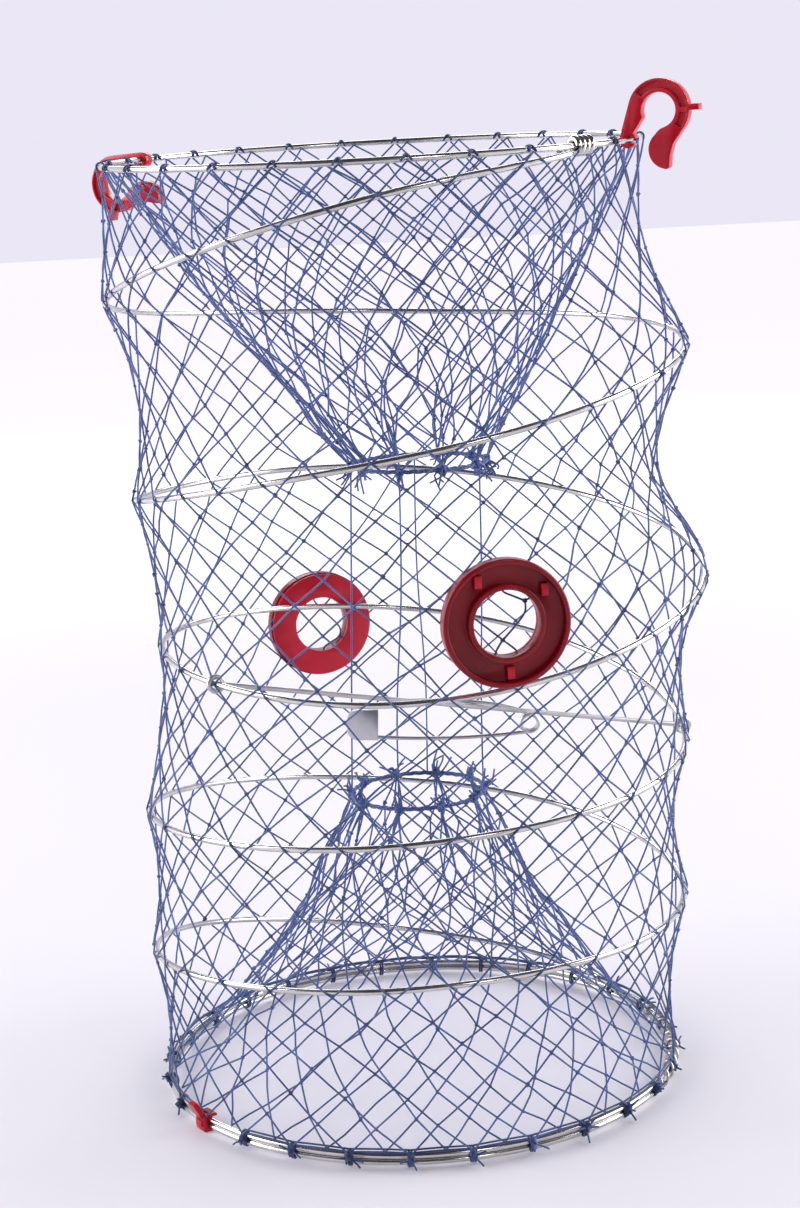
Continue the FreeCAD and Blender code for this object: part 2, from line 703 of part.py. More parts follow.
def pin_clasp_shape():
    """Folded sheet cap: two cheeks joined round the end, open towards the coil for the point."""
    sheet_gap = size("clasp_sheet")
    depth = size("clasp_depth")
    length = size("clasp_length")
    height = size("clasp_height")
    low = Vector(ARM_END - length + size("clasp_overlap"), -height / 2 - size("clasp_drop"), -depth / 2)
    outer = Part.makeBox(length, height, depth, low)
    outer = outer.makeFillet(size("clasp_round"), upright_edges(outer, low.x + sheet_gap))
    hollow = Part.makeBox(length, height - 2 * sheet_gap, depth - 2 * sheet_gap,
                          low + Vector(sheet_gap, sheet_gap, sheet_gap))
    hollow = hollow.makeFillet(size("clasp_round") - sheet_gap, upright_edges(hollow, low.x + 2 * sheet_gap))
    return outer.cut(hollow)


def joined_clasp():
    """The cap is crimped on to the end of the lower arm, which leaves a bore through it."""
    return pin_clasp_shape().cut(arm(LOWER_ARM, PIN + 0.04))


shaped("bait_pin_frame", pin_frame_shape(), pin_frame)
shaped("bait_pin_needle", pin_needle_shape(), pin_frame)
shaped("bait_pin_clasp", joined_clasp(), pin_frame)


# ---------------------------------------------------------------- netting, throats and tie lines
def tilted_circle(centre, normal, radius):
    return Part.Wire([Part.makeCircle(radius, centre, normal)])


def lofted(centres, normals, radii):
    wires = [tilted_circle(c, n, r) for c, n, r in zip(centres, normals, radii)]
    return Part.makeLoft(wires, True, True)


def thin_tube(centres, normals, radii, wall):
    outer = lofted(centres, normals, [r + wall for r in radii])
    return outer.cut(lofted(centres, normals, radii))


UP = Vector(0, 0, 1)
NET = size("net_wall")
NET_RADIUS = R + WIRE / 2 + size("wire_to_net")
NET_BOTTOM = UPPER_RING + PITCH / 2 + hitch_reach + TWINE
net_top = axis_at(H) - Vector(0, 0, size("net_top_drop"))


def net_wall_shape():
    """Netting round the spring, with a hole for each port ring, each bar eye and the clips' reach."""
    count = int(size("net_sections"))
    last_level = H - size("net_level_end")
    levels = [NET_BOTTOM + (last_level - NET_BOTTOM) * i / (count - 1) for i in range(count)]
    wall = thin_tube([axis_at(z) for z in levels] + [net_top], [UP] * count + [TOP_NORMAL],
                     [NET_RADIUS + swell_at(z) for z in levels + [net_top.z]], NET)
    gap = size("net_gap")
    for frame in port_frames.values():
        seat = Part.makeCylinder(size("port_radius") + gap, 40, Vector(0, 0, -gap), UP)
        hole = Part.makeCylinder(size("port_hole_radius") + 1.5, 80, Vector(0, 0, -40), UP)
        for cut in (seat, hole):
            cut.Placement = frame
            wall = wall.cut(cut)
    for centre in bar_ends:
        out = Vector(centre.x - axis_at(centre.z).x, centre.y - axis_at(centre.z).y, 0).normalize()
        wall = wall.cut(Part.makeCylinder(size("bar_eye_radius") + BAR + 1.2, 30, centre - out * 8, out))
    left_out = round_axis(size("left_hook_angle"))
    window = Part.makeBox(40, size("hook_width") + 5, 50, Vector(-20, -size("hook_width") / 2 - 2.5, -42))
    window.Placement = Placement(top_ring_point(size("left_hook_angle")), Rotation(Vector(1, 0, 0), left_out))
    clip_window = Part.makeBox(40, size("lower_clip_width") + 5, 18,
                               Vector(-20, -size("lower_clip_width") / 2 - 2.5, 0))
    clip_window.Placement = Placement(bottom_ring_point(size("lower_clip_angle"), LOWER_RING),
                                      Rotation(Vector(1, 0, 0), clip_out))
    return wall.cut([window, clip_window])


shaped("net_wall", net_wall_shape())

THROAT = size("throat_radius")
CORD = size("throat_cord")
throat_high = Vector(size("upper_throat_right"), 0, size("upper_throat_height"))
throat_low = Vector(size("lower_throat_right"), 0, size("lower_throat_height"))
mouth_radius = R - size("funnel_inset") - NET
funnel_end_gap = CORD / 2 + size("net_gap")
upper_mouth = axis_at(H) - TOP_NORMAL * (size("twine") * 1)


def rim_notch(angle, width):
    """Room in the funnel's edge for what is wound or clipped round the top ring."""
    notch = Part.makeBox(24, width, 40, Vector(-12, -width / 2, -20))
    notch.Placement = Placement(top_ring_point(angle), Rotation(Vector(1, 0, 0), round_axis(angle)))
    return notch


upper_funnel = thin_tube([upper_mouth, throat_high + Vector(0, 0, funnel_end_gap)], [TOP_NORMAL, UP],
                         [mouth_radius - TWINE, THROAT - NET / 2], NET)
shaped("upper_funnel_net", upper_funnel.cut([
    rim_notch(size("wrap_angle"), size("wrap_turns") * PITCH + 9),
    rim_notch(size("right_hook_angle"), size("hook_width") + 3),
    rim_notch(size("left_hook_angle"), size("hook_width") + 3)]))
shaped("lower_funnel_net", thin_tube(
    [Vector(0, 0, UPPER_RING), throat_low * 0.52 + Vector(0, 0, UPPER_RING * 0.52),
     throat_low - Vector(0, 0, funnel_end_gap)], [UP, UP, UP],
    [mouth_radius - TWINE, (mouth_radius + THROAT) / 2 - 10, THROAT - NET / 2], NET))
shaped("upper_throat_cord", torus(throat_high, UP, THROAT, CORD / 2))
shaped("lower_throat_cord", torus(throat_low, UP, THROAT, CORD / 2))

tie_top = throat_high - Vector(0, 0, CORD / 2 + size("wire_gap"))
tie_bottom = throat_low + Vector(0, 0, CORD / 2 + size("wire_gap"))
TIE_ANGLES = ((182, 182), (252, 252), (92, 80), (-30, -12))
for number, (high_angle, low_angle) in enumerate(TIE_ANGLES, start=1):
    top_end = tie_top + round_axis(high_angle, THROAT)
    low_end = tie_bottom + round_axis(low_angle, THROAT)
    shaped("funnel_tie_%d" % number,
           Part.makeCylinder(TWINE / 2, (top_end - low_end).Length, low_end, top_end - low_end))

# ---------------------------------------------------------------- checks and files
doc.recompute()
for item in doc.Objects:
    if "Invalid" in item.State or "Error" in item.State:
        raise RuntimeError("%s did not build: %s" % (item.Label, item.State))
os.makedirs("parts", exist_ok=True)
for label, item in parts.items():
    shape = item.Shape
    if shape.isNull() or not shape.isValid() or not shape.Solids:
        raise RuntimeError("%s has no valid solid" % label)
    shape.exportStep("parts/%s.step" % label)
    box = shape.BoundBox
    print("%-22s solids %2d volume %9.1f box %7.1f %7.1f %7.1f to %7.1f %7.1f %7.1f" % (
        label, len(shape.Solids), shape.Volume, box.XMin, box.YMin, box.ZMin, box.XMax, box.YMax, box.ZMax))
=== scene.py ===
import json
import math
import random

import bmesh
import bpy
from mathutils import Matrix, Vector

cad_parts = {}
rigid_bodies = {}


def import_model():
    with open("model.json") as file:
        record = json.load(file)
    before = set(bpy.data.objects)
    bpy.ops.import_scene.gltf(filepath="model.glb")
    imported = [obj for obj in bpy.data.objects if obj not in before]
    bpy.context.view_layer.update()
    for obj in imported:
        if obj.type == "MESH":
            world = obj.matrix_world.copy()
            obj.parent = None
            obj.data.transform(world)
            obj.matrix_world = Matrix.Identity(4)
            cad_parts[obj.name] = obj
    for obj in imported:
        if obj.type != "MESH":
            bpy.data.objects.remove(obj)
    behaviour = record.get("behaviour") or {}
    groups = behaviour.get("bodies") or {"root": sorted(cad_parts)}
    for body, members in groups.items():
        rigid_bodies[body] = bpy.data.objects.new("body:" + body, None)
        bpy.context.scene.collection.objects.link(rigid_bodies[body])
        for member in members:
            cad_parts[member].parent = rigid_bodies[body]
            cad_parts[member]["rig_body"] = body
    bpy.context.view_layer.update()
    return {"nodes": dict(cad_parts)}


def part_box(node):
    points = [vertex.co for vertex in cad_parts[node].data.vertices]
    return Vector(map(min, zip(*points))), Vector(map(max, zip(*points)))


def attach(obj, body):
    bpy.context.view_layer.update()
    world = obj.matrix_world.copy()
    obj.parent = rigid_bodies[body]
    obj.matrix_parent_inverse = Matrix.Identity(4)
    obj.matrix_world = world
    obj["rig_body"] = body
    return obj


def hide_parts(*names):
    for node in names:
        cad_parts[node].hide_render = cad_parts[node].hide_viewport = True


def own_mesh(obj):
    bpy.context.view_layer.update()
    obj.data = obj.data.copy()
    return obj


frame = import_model()
rng = random.Random(41)
mm = 0.001
up = Vector((0, 0, 1))

print("camera and studio")
camera = {
    "spot": (-0.01594, -1.300, 0.53367),
    "lookDown": 11.006,   # degrees under the horizon
    "turnRight": 0.740,
    "roll": 3.037,        # clockwise, so what stands upright leans left
    "lens": 67.97,
    "film": 36.0,
}
studio = {
    "floorReach": 14.0,
    "floorTone": (0.76, 0.74, 0.80),
    "floorGlow": (0.06, 0.82),   # near the trap, and far off where the floor meets the sky
    "glowTone": (0.99, 0.95, 1.09),
    "glowReach": (0.9, 3.4),
    "skyTone": (0.83, 0.80, 0.92),
    "skyPower": 1.0,
    "ceiling": 0.10,             # share of the sky's light that is left overhead
    "ceilingFrom": (0.28, 0.55),
    "card": ((-1.5, -2.7, 0.05), (1.5, -2.7, 0.05), (1.5, -1.9, 3.2), (-1.5, -1.9, 3.2)),
    "lightsFace": (0, 0, 0.3),
    # name: place, width and height, power
    "lights": {
        "leftBox": ((-2.1, 0.1, 1.0), (1.5, 1.8), 52),
        "rightBox": ((2.1, 0.2, 1.0), (1.5, 1.8), 52),
        "backBox": ((0.0, 2.3, 1.9), (2.4, 1.0), 34),
        "frontFill": ((0.9, -2.2, 1.5), (0.5, 0.5), 7),
    },
}


def link(obj):
    bpy.context.scene.collection.objects.link(obj)
    return obj


def placeCamera():
    data = bpy.data.cameras.new("view")
    data.lens = camera["lens"]
    data.sensor_width = camera["film"]
    obj = link(bpy.data.objects.new("view", data))
    obj.location = camera["spot"]
    turns = (-camera["turnRight"], "Z"), (90 - camera["lookDown"], "X"), (-camera["roll"], "Z")
    way = Matrix.Identity(3)
    for angle, axis in turns:
        way = way @ Matrix.Rotation(math.radians(angle), 3, axis)
    obj.rotation_euler = way.to_euler()
    bpy.context.scene.camera = obj


def floorMaterial():
    mat = bpy.data.materials.new("paperFloor")
    mat.use_nodes = True
    tree = mat.node_tree
    shader = tree.nodes["Principled BSDF"]
    shader.inputs["Base Color"].default_value = (*studio["floorTone"], 1)
    shader.inputs["Roughness"].default_value = 0.95
    shader.inputs["Specular IOR Level"].default_value = 0.1
    shader.inputs["Emission Color"].default_value = (*studio["glowTone"], 1)
    place = tree.nodes.new("ShaderNodeTexCoord")
    away = tree.nodes.new("ShaderNodeVectorMath")
    away.operation = "LENGTH"
    glow = tree.nodes.new("ShaderNodeMapRange")
    glow.interpolation_type = "SMOOTHSTEP"
    glow.inputs["From Min"].default_value, glow.inputs["From Max"].default_value = studio["glowReach"]
    glow.inputs["To Min"].default_value, glow.inputs["To Max"].default_value = studio["floorGlow"]
    tree.links.new(place.outputs["Object"], away.inputs[0])
    tree.links.new(away.outputs["Value"], glow.inputs["Value"])
    tree.links.new(glow.outputs["Result"], shader.inputs["Emission Strength"])
    return mat


def softLight(name, spot, size, power):
    data = bpy.data.lights.new(name, "AREA")
    data.shape = "RECTANGLE"
    data.size, data.size_y = size
    data.energy = power
    obj = link(bpy.data.objects.new(name, data))
    obj.location = spot
    facing = Vector(studio["lightsFace"]) - Vector(spot)
    obj.rotation_euler = facing.to_track_quat("-Z", "Y").to_euler()


def darkCard():
    mesh = bpy.data.meshes.new("darkCard")
    mesh.from_pydata(studio["card"], [], [(0, 1, 2, 3)])
    card = link(bpy.data.objects.new("darkCard", mesh))
    mat = bpy.data.materials.new("blackCloth")
    mat.use_nodes = True
    mat.node_tree.nodes["Principled BSDF"].inputs["Base Color"].default_value = (0.01, 0.01, 0.01, 1)
    mesh.materials.append(mat)
    card.visible_camera = False  # it only darkens what the plated wire mirrors
    card.visible_shadow = False


def buildStudio():
    reach = studio["floorReach"]
    mesh = bpy.data.meshes.new("floor")
    corners = [(-reach, -reach, 0), (reach, -reach, 0), (reach, reach, 0), (-reach, reach, 0)]
    mesh.from_pydata(corners, [], [(0, 1, 2, 3)])
    floor = link(bpy.data.objects.new("floor", mesh))
    floor.data.materials.append(floorMaterial())
    world = bpy.data.worlds.new("studio")
    bpy.context.scene.world = world
    world.use_nodes = True
    tree = world.node_tree
    sky = tree.nodes["Background"]
    sky.inputs["Strength"].default_value = studio["skyPower"]
    way = tree.nodes.new("ShaderNodeTexCoord")
    split = tree.nodes.new("ShaderNodeSeparateXYZ")
    high = tree.nodes.new("ShaderNodeMapRange")
    high.interpolation_type = "SMOOTHSTEP"
    high.inputs["From Min"].default_value, high.inputs["From Max"].default_value = studio["ceilingFrom"]
    tone = tree.nodes.new("ShaderNodeMix")
    tone.data_type = "RGBA"
    tone.inputs["A"].default_value = (*studio["skyTone"], 1)
    tone.inputs["B"].default_value = (*[c * studio["ceiling"] for c in studio["skyTone"]], 1)
    tree.links.new(way.outputs["Generated"], split.inputs[0])
    tree.links.new(split.outputs["Z"], high.inputs["Value"])
    tree.links.new(high.outputs["Result"], tone.inputs["Factor"])
    tree.links.new(tone.outputs["Result"], sky.inputs["Color"])
    bpy.context.scene.view_settings.view_transform = "Standard"
    darkCard()
    for name, (spot, size, power) in studio["lights"].items():
        softLight(name, spot, size, power)


placeCamera()
buildStudio()

print("trap's frame of reference")
ringLo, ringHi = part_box("bottom_ring_lower")
upperLo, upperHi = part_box("bottom_ring_upper")
topLo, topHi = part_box("top_ring")
wireRadius = (ringHi.z - ringLo.z) / 2
ringRadius = (ringHi.x - ringLo.x) / 2 - wireRadius
topCentre = (topLo + topHi) / 2
tall = topCentre.z
lowerRingZ = (ringLo.z + ringHi.z) / 2
upperRingZ = (upperLo.z + upperHi.z) / 2
lie = upperRingZ - lowerRingZ          # from wire to wire where two lie together
spring = {
    "slope": (0.004, 0.037),            # rise of the top ring to the right and to the back
    "countFrom": -40,                   # degrees; the wire runs clockwise and down from here
    "startAt": -48.2,
    "lastTurn": 4.78,
    # the wire's height at the front, left, back and right of each turn
    "heights": [
        (516.6, 460.9, 439.7, 427.6), (386.6, 350.7, 339.9, 296.8), (258.4, 266.1, 246.8, 199),
        (183.1, 167.9, 131.9, 105.3), (104, 83.6, 29.6)],
    # the turns bulge and wander: height, shift of their centre to the right, extra radius
    "wander": [
        (0, 0, 0), (85, 2.4, 6.5), (167, 4.4, 6.1), (215, 8.1, 7), (265, 16.1, 4), (305, 17.2, 10.5),
        (355, 8.5, 5), (426, 9.1, 10.3), (485, -0.1, 6.4), (tall / mm, topCentre.x / mm, 0)],
    "centres": (461, 296, 245, 154, 62),  # the height that each turn closes up about as the trap folds; handed on as fold, which here only gives the piece its own mesh
}


def aim(angle, length=1.0):
    a = math.radians(angle)
    return Vector((math.cos(a), math.sin(a), 0)) * length


def smoothValue(knots, at, column=1):
    i = 0
    while i < len(knots) - 2 and at > knots[i + 1][0]:
        i += 1
    before, start = knots[max(i - 1, 0)], knots[i]
    end, after = knots[i + 1], knots[min(i + 2, len(knots) - 1)]
    span = end[0] - start[0]
    t = (at - start[0]) / span
    slopeIn = (end[column] - before[column]) / (end[0] - before[0]) * span
    slopeOut = (after[column] - start[column]) / (after[0] - start[0]) * span
    return ((2 * t**3 - 3 * t**2 + 1) * start[column] + (t**3 - 2 * t**2 + t) * slopeIn
            + (3 * t**2 - 2 * t**3) * end[column] + (t**3 - t**2) * slopeOut)


def axisAt(z):
    return Vector((smoothValue(spring["wander"], z / mm, 1) * mm, 0, z))


def swellAt(z):
    return smoothValue(spring["wander"], min(max(z / mm, 0), tall / mm), 2) * mm


def onTopRing(angle, radius):
    out = aim(angle)
    out.z = spring["slope"][0] * out.x + spring["slope"][1] * out.y
    return topCentre + out.normalized() * radius


def springKnots():
    first = (spring["countFrom"] - spring["startAt"]) / 360
    knots = [(first, onTopRing(spring["startAt"], ringRadius).z - lie)]
    quarter = (spring["countFrom"] + 90) / 360
    for turn, heights in enumerate(spring["heights"]):
        for step, height in enumerate(heights):
            knots.append((turn + quarter + step / 4, height * mm))
    knots.append((spring["lastTurn"], upperRingZ + lie))
    return knots


knotsDown = springKnots()


def springPoint(turns):
    z = smoothValue(knotsDown, turns)
    return axisAt(z) + aim(spring["countFrom"] - 360 * turns, ringRadius + swellAt(z))


print("finishes")


def newMaterial(name, **sockets):
    mat = bpy.data.materials.new(name)
    mat.use_nodes = True
    shader = mat.node_tree.nodes["Principled BSDF"]
    for label, value in sockets.items():
        shader.inputs[label.replace("_", " ")].default_value = value
    return mat, mat.node_tree, shader


def noiseOf(tree, scale, detail=3.0, stretch=(1, 1, 1)):
    place = tree.nodes.new("ShaderNodeTexCoord")
    fit = tree.nodes.new("ShaderNodeMapping")
    fit.inputs["Scale"].default_value = stretch
    noise = tree.nodes.new("ShaderNodeTexNoise")
    noise.inputs["Scale"].default_value = scale
    noise.inputs["Detail"].default_value = detail
    tree.links.new(place.outputs["Object"], fit.inputs["Vector"])
    tree.links.new(fit.outputs["Vector"], noise.inputs["Vector"])
    return noise.outputs["Fac"]


def ramp(tree, source, stops):
    node = tree.nodes.new("ShaderNodeValToRGB")
    while len(node.color_ramp.elements) < len(stops):
        node.color_ramp.elements.new(0.5)
    for element, (place, colour) in zip(node.color_ramp.elements, stops):
        element.position = place
        element.color = (*colour, 1)
    tree.links.new(source, node.inputs["Fac"])
    return node.outputs["Color"]


def spread(tree, source, low, high):
    node = tree.nodes.new("ShaderNodeMapRange")
    node.inputs["To Min"].default_value = low
    node.inputs["To Max"].default_value = high
    tree.links.new(source, node.inputs["Value"])
    return node.outputs["Result"]


def bumpFrom(tree, shader, source, strength, distance):
    node = tree.nodes.new("ShaderNodeBump")
    node.inputs["Strength"].default_value = strength
    node.inputs["Distance"].default_value = distance
    tree.links.new(source, node.inputs["Height"])
    tree.links.new(node.outputs["Normal"], shader.inputs["Normal"])


def platedWire(name, tones, rough):
    mat, tree, shader = newMaterial(name, Metallic=1.0)
    cloudy = noiseOf(tree, 55, 4)
    fine = noiseOf(tree, 900, 2)
    tree.links.new(ramp(tree, cloudy, [(0.3, tones[0]), (0.7, tones[1])]), shader.inputs["Base Color"])
    tree.links.new(spread(tree, cloudy, *rough), shader.inputs["Roughness"])
    bumpFrom(tree, shader, fine, 0.12, 0.0002)
    return mat


twineLay = 0.0017  # length of one full twist of the twine's plies


def twistedTwine(name, tones):
    mat, tree, shader = newMaterial(name, Roughness=0.62, Specular_IOR_Level=0.35, Sheen_Weight=0.25)
    along = tree.nodes.new("ShaderNodeAttribute")
    along.attribute_name = "along"
    side = tree.nodes.new("ShaderNodeAttribute")
    side.attribute_name = "side"
    turn = tree.nodes.new("ShaderNodeMath")
    turn.operation = "MULTIPLY"
    turn.inputs[1].default_value = 2 * math.pi / twineLay
    tree.links.new(along.outputs["Fac"], turn.inputs[0])
    waves = []
    for kind in ("COSINE", "SINE"):
        wave = tree.nodes.new("ShaderNodeMath")
        wave.operation = kind
        tree.links.new(turn.outputs[0], wave.inputs[0])
        waves.append(wave)
    spin = tree.nodes.new("ShaderNodeCombineXYZ")
    tree.links.new(waves[0].outputs[0], spin.inputs["X"])
    tree.links.new(waves[1].outputs[0], spin.inputs["Y"])
    ply = tree.nodes.new("ShaderNodeVectorMath")
    ply.operation = "DOT_PRODUCT"
    tree.links.new(spin.outputs[0], ply.inputs[0])
    tree.links.new(side.outputs["Vector"], ply.inputs[1])
    plyShade = tree.nodes.new("ShaderNodeMapRange")
    plyShade.inputs["From Min"].default_value = -1
    tree.links.new(ply.outputs["Value"], plyShade.inputs["Value"])
    worn = noiseOf(tree, 38, 3)
    fibre = noiseOf(tree, 2600, 2)
    tint = ramp(tree, worn, [(0.32, tones[0]), (0.5, tones[1]), (0.68, tones[2])])
    # painted shade: the ply ramp below darkens the twine's colour in the grooves between its plies
    shade = tree.nodes.new("ShaderNodeMix")
    shade.data_type = "RGBA"
    shade.blend_type = "MULTIPLY"
    shade.inputs["Factor"].default_value = 0.45
    tree.links.new(tint, shade.inputs["A"])
    tree.links.new(ramp(tree, plyShade.outputs["Result"], [(0.1, (0.35, 0.35, 0.4)), (0.55, (1, 1, 1))]),
                   shade.inputs["B"])
    tree.links.new(shade.outputs["Result"], shader.inputs["Base Color"])
    height = tree.nodes.new("ShaderNodeMath")
    height.operation = "MULTIPLY_ADD"
    height.inputs[1].default_value = 0.35
    tree.links.new(fibre, height.inputs[0])
    tree.links.new(plyShade.outputs["Result"], height.inputs[2])
    bumpFrom(tree, shader, height.outputs[0], 0.7, 0.0003)
    return mat


def mouldedPlastic(name, tones, rough, glow):
    mat, tree, shader = newMaterial(name, Coat_Weight=0.12, Coat_Roughness=0.15, Specular_IOR_Level=0.28,
                                    Subsurface_Weight=glow, Subsurface_Radius=(0.006, 0.0008, 0.0006),
                                    Subsurface_Scale=0.5)
    flow = noiseOf(tree, 60, 3, (1, 1, 0.4))
    skin = noiseOf(tree, 420, 2)
    tree.links.new(ramp(tree, flow, [(0.3, tones[0]), (0.7, tones[1])]), shader.inputs["Base Color"])
    tree.links.new(spread(tree, flow, *rough), shader.inputs["Roughness"])
    bumpFrom(tree, shader, skin, 0.10, 0.0003)
    return mat


zincWire = platedWire("zincWire", ((0.56, 0.55, 0.52), (0.72, 0.71, 0.68)), (0.12, 0.24))
thinWire = platedWire("thinWire", ((0.45, 0.44, 0.42), (0.70, 0.69, 0.66)), (0.22, 0.38))
nickelSteel = platedWire("nickelSteel", ((0.52, 0.52, 0.53), (0.68, 0.68, 0.69)), (0.22, 0.36))
barWire = platedWire("barWire", ((0.48, 0.47, 0.46), (0.62, 0.61, 0.60)), (0.24, 0.38))
netBlue = twistedTwine("netBlue", ((0.034, 0.062, 0.190), (0.062, 0.110, 0.300), (0.110, 0.175, 0.430)))
hitchBlue = twistedTwine("hitchBlue", ((0.024, 0.040, 0.120), (0.042, 0.072, 0.200), (0.080, 0.130, 0.320)))
throatBlue = twistedTwine("throatBlue", ((0.042, 0.075, 0.225), (0.070, 0.125, 0.340), (0.105, 0.175, 0.430)))
portRed = mouldedPlastic("portRed", ((0.19, 0.001, 0.006), (0.27, 0.003, 0.010)), (0.24, 0.36), 0.10)
# painted light: a lighter copy of the port's red for the raised pegs, so they look lit
litPegRed = mouldedPlastic("litPegRed", ((0.46, 0.006, 0.022), (0.58, 0.010, 0.032)), (0.24, 0.36), 0.15)
hookRed = mouldedPlastic("hookRed", ((0.40, 0.003, 0.014), (0.52, 0.006, 0.022)), (0.22, 0.36), 0.20)

print("tube maker")


# one overhand knot, its middle line about 2 across; it is made smaller where it is tied
knot = {"points": 13, "swing": 0.60, "ripple": 0.34, "lift": 0.5, "thick": 0.42}


def knotTemplate():
    points = []
    count = knot["points"]
    for i in range(count):
        t = 2 * math.pi * i / count
        swing = knot["swing"] + knot["ripple"] * math.cos(3 * t)
        rise = knot["lift"] * math.sin(3 * t)
        points.append(Vector((swing * math.cos(2 * t), swing * math.sin(2 * t), rise)))
    bm = bmesh.new()
    rings = []
    for i, p in enumerate(points):
        way = (points[(i + 1) % count] - points[i - 1]).normalized()
        side = way.orthogonal().normalized()
        other = way.cross(side)
        rings.append([bm.verts.new(p + (side * math.cos(a) + other * math.sin(a)) * knot["thick"])
                      for a in (math.pi / 4 + k * math.pi / 2 for k in range(4))])
    for i in range(count):
        here, there = rings[i], rings[(i + 1) % count]
        gaps = [sum((here[k].co - there[(k + s) % 4].co).length for k in range(4)) for s in range(4)]
        shift = gaps.index(min(gaps))
        for k in range(4):
            bm.faces.new((here[k], here[(k + 1) % 4], there[(k + 1 + shift) % 4], there[(k + shift) % 4]))
    bmesh.ops.recalc_face_normals(bm, faces=bm.faces)
    mesh = bpy.data.meshes.new("knotTemplate")
    bm.to_mesh(mesh)
    bm.free()
    obj = link(bpy.data.objects.new("knotTemplate", mesh))
    obj.hide_render = True
    obj.hide_viewport = True
    return obj


knotShape = knotTemplate()


def tubeTree(name, radius, sides, material, knotSize=0):
    tree = bpy.data.node_groups.new(name, "GeometryNodeTree")
    tree.interface.new_socket(name="Geometry", in_out="INPUT", socket_type="NodeSocketGeometry")
    tree.interface.new_socket(name="Geometry", in_out="OUTPUT", socket_type="NodeSocketGeometry")
    nodes, links = tree.nodes, tree.links
    lines = nodes.new("NodeGroupInput")
    done = nodes.new("NodeGroupOutput")
    path = nodes.new("GeometryNodeMeshToCurve")
    section = nodes.new("GeometryNodeCurvePrimitiveCircle")
    section.inputs["Resolution"].default_value = sides
    section.inputs["Radius"].default_value = radius
    spot = nodes.new("GeometryNodeInputPosition")
    unit = nodes.new("ShaderNodeVectorMath")
    unit.operation = "SCALE"
    unit.inputs["Scale"].default_value = 1 / radius
    mark = nodes.new("GeometryNodeStoreNamedAttribute")
    mark.data_type = "FLOAT_VECTOR"
    mark.domain = "POINT"
    mark.inputs["Name"].default_value = "side"
    links.new(spot.outputs[0], unit.inputs[0])
    links.new(unit.outputs[0], mark.inputs["Value"])
    links.new(section.outputs["Curve"], mark.inputs["Geometry"])
    skin = nodes.new("GeometryNodeCurveToMesh")
    skin.inputs["Fill Caps"].default_value = True
    links.new(lines.outputs[0], path.inputs["Mesh"])
    links.new(path.outputs["Curve"], skin.inputs["Curve"])
    links.new(mark.outputs["Geometry"], skin.inputs["Profile Curve"])
    result = skin.outputs["Mesh"]
    if knotSize:
        knotMark = nodes.new("GeometryNodeInputNamedAttribute")
        knotMark.data_type = "FLOAT"
        knotMark.inputs["Name"].default_value = "knot"
        knotTurn = nodes.new("GeometryNodeInputNamedAttribute")
        knotTurn.data_type = "FLOAT_VECTOR"
        knotTurn.inputs["Name"].default_value = "knotTurn"
        picked = nodes.new("ShaderNodeMath")
        picked.operation = "GREATER_THAN"
        picked.inputs[1].default_value = 0.01
        grown = nodes.new("ShaderNodeMath")
        grown.operation = "MULTIPLY"
        grown.inputs[1].default_value = knotSize
        points = nodes.new("GeometryNodeMeshToPoints")
        shape = nodes.new("GeometryNodeObjectInfo")
        shape.inputs["Object"].default_value = knotShape
        tie = nodes.new("GeometryNodeInstanceOnPoints")
        real = nodes.new("GeometryNodeRealizeInstances")
        both = nodes.new("GeometryNodeJoinGeometry")
        links.new(knotMark.outputs["Attribute"], picked.inputs[0])
        links.new(knotMark.outputs["Attribute"], grown.inputs[0])
        links.new(lines.outputs[0], points.inputs["Mesh"])
        links.new(picked.outputs[0], points.inputs["Selection"])
        links.new(points.outputs["Points"], tie.inputs["Points"])
        links.new(shape.outputs["Geometry"], tie.inputs["Instance"])
        links.new(knotTurn.outputs["Attribute"], tie.inputs["Rotation"])
        links.new(grown.outputs[0], tie.inputs["Scale"])
        links.new(tie.outputs["Instances"], real.inputs[0])
        links.new(skin.outputs["Mesh"], both.inputs[0])
        links.new(real.outputs[0], both.inputs[0])
        result = both.outputs[0]
    smooth = nodes.new("GeometryNodeSetShadeSmooth")
    paint = nodes.new("GeometryNodeSetMaterial")
    paint.inputs["Material"].default_value = material
    links.new(result, smooth.inputs[0])
    links.new(smooth.outputs[0], paint.inputs["Geometry"])
    links.new(paint.outputs[0], done.inputs[0])
    return tree


def linePiece(name, strands, radius, sides, material, body, stands=(), knots=(), knotSize=0, fold=None):
    verts, edges, along = [], [], []
    for strand in strands:
        run = 0.0
        for i, p in enumerate(strand):
            if i:
                run += (p - strand[i - 1]).length
                edges.append((len(verts) - 1, len(verts)))
            verts.append(p)
            along.append(run)
    tied = len(verts)
    verts += [k[0] for k in knots]
    mesh = bpy.data.meshes.new(name)
    mesh.from_pydata([tuple(v) for v in verts], edges, [])
    runs = mesh.attributes.new("along", "FLOAT", "POINT")
    runs.data.foreach_set("value", along + [0.0] * len(knots))
    marks = mesh.attributes.new("knot", "FLOAT", "POINT")
    marks.data.foreach_set("value", [0.0] * tied + [k[1] for k in knots])
    turns = mesh.attributes.new("knotTurn", "FLOAT_VECTOR", "POINT")
    turns.data.foreach_set("vector", [0.0] * (3 * tied) + [c for k in knots for c in k[2]])
    obj = link(bpy.data.objects.new(name, mesh))
    obj.data.materials.append(material)
    maker = obj.modifiers.new("tube", "NODES")
    maker.node_group = tubeTree(name + "_tube", radius, sides, material, knotSize)
    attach(obj, body)
    if stands:
        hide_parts(*stands)
    if fold is not None:
        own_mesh(obj)
    return obj


print("spring and rings")
wireSides = 18


